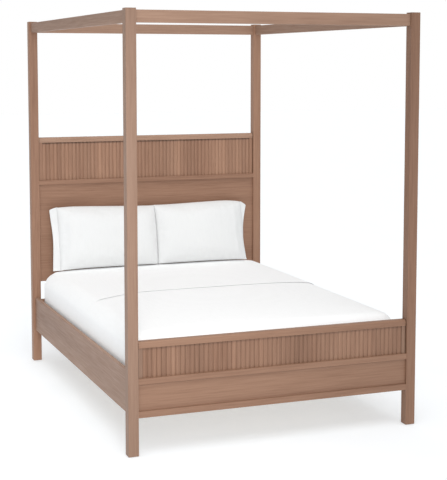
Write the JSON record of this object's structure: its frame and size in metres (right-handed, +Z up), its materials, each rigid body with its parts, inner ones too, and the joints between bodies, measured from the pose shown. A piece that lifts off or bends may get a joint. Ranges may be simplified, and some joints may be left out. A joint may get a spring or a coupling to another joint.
{
  "type": "four poster canopy bed",
  "caption": "Wooden four poster bed with an open canopy frame, reeded headboard and footboard, slatted base, mattress and pillows.",
  "frame": {"origin": "on the floor, at the middle of the bed's outline", "axes": "+Z up, +Y toward the head end, +X toward the right-hand side as seen by someone standing at the foot and looking at the headboard"},
  "size_m": [1.614, 2.216, 2.216],
  "materials": {
    "frame_wood": "satin",
    "reed_wood": "satin",
    "slat_wood": "matte",
    "dowel_wood": "matte",
    "zinc_steel": "satin",
    "painted_steel": "matte",
    "black_plastic": "matte",
    "webbing": "matte",
    "mattress_cover": "matte",
    "sheet_cotton": "matte",
    "pillow_cotton": "matte"
  },
  "bodies": {
    "bed_frame": {"front_left_post": "frame_wood", "front_right_post": "frame_wood", "rear_left_post": "frame_wood", "rear_right_post": "frame_wood", "canopy_front_rail": "frame_wood", "canopy_rear_rail": "frame_wood", "canopy_left_rail": "frame_wood", "canopy_right_rail": "frame_wood", "headboard_cap_rail": "frame_wood", "headboard_reed_backing": "frame_wood", "headboard_left_stile": "frame_wood", "headboard_right_stile": "frame_wood", "headboard_mid_rail": "frame_wood", "headboard_panel": "frame_wood", "headboard_cross_rail": "frame_wood", "footboard_cap_rail": "frame_wood", "footboard_reed_backing": "frame_wood", "footboard_left_stile": "frame_wood", "footboard_right_stile": "frame_wood", "footboard_mid_rail": "frame_wood", "footboard_panel": "frame_wood", "footboard_bottom_rail": "frame_wood", "left_side_rail": "frame_wood", "right_side_rail": "frame_wood", "centre_front_leg": "frame_wood", "centre_rear_leg": "frame_wood", "headboard_reeds": "reed_wood", "footboard_reeds": "reed_wood", "slats": "slat_wood", "left_cleat": "slat_wood", "right_cleat": "slat_wood", "foot_cleat": "slat_wood", "head_cleat": "slat_wood", "centre_rail": "slat_wood", "canopy_dowels": "dowel_wood", "headboard_dowels": "dowel_wood", "footboard_dowels": "dowel_wood", "canopy_rods": "zinc_steel", "canopy_barrel_nuts": "zinc_steel", "plate_screws": "zinc_steel", "cleat_screws": "zinc_steel", "slat_screws": "zinc_steel", "hanger_screws": "zinc_steel", "leg_bolts": "zinc_steel", "leg_inserts": "zinc_steel", "post_slot_plates": "painted_steel", "rail_hook_plates": "painted_steel", "centre_rail_hangers": "painted_steel", "front_left_glide": "black_plastic", "front_right_glide": "black_plastic", "rear_left_glide": "black_plastic", "rear_right_glide": "black_plastic", "slat_straps": "webbing"},
    "mattress": {"mattress": "mattress_cover", "top_sheet": "sheet_cotton"},
    "left_pillow": {"left_pillow": "pillow_cotton"},
    "right_pillow": {"right_pillow": "pillow_cotton"},
    "front_levelling_foot": {"front_levelling_foot": "black_plastic"},
    "rear_levelling_foot": {"rear_levelling_foot": "black_plastic"}
  },
  "joints": [
    {"name": "mattress_lift", "type": "slide", "parent": "bed_frame", "child": "mattress", "axis": [0, 0, 1], "range_m": [0, 0.25]},
    {"name": "left_pillow_lift", "type": "slide", "parent": "mattress", "child": "left_pillow", "axis": [0, 0, 1], "range_m": [0, 0.35]},
    {"name": "right_pillow_lift", "type": "slide", "parent": "mattress", "child": "right_pillow", "axis": [0, 0, 1], "range_m": [0, 0.35]},
    {"name": "front_foot_screw", "type": "slide", "parent": "bed_frame", "child": "front_levelling_foot", "axis": [0, 0, 1], "range_m": [0, 0.012]},
    {"name": "rear_foot_screw", "type": "slide", "parent": "bed_frame", "child": "rear_levelling_foot", "axis": [0, 0, 1], "range_m": [0, 0.012]}
  ]
}
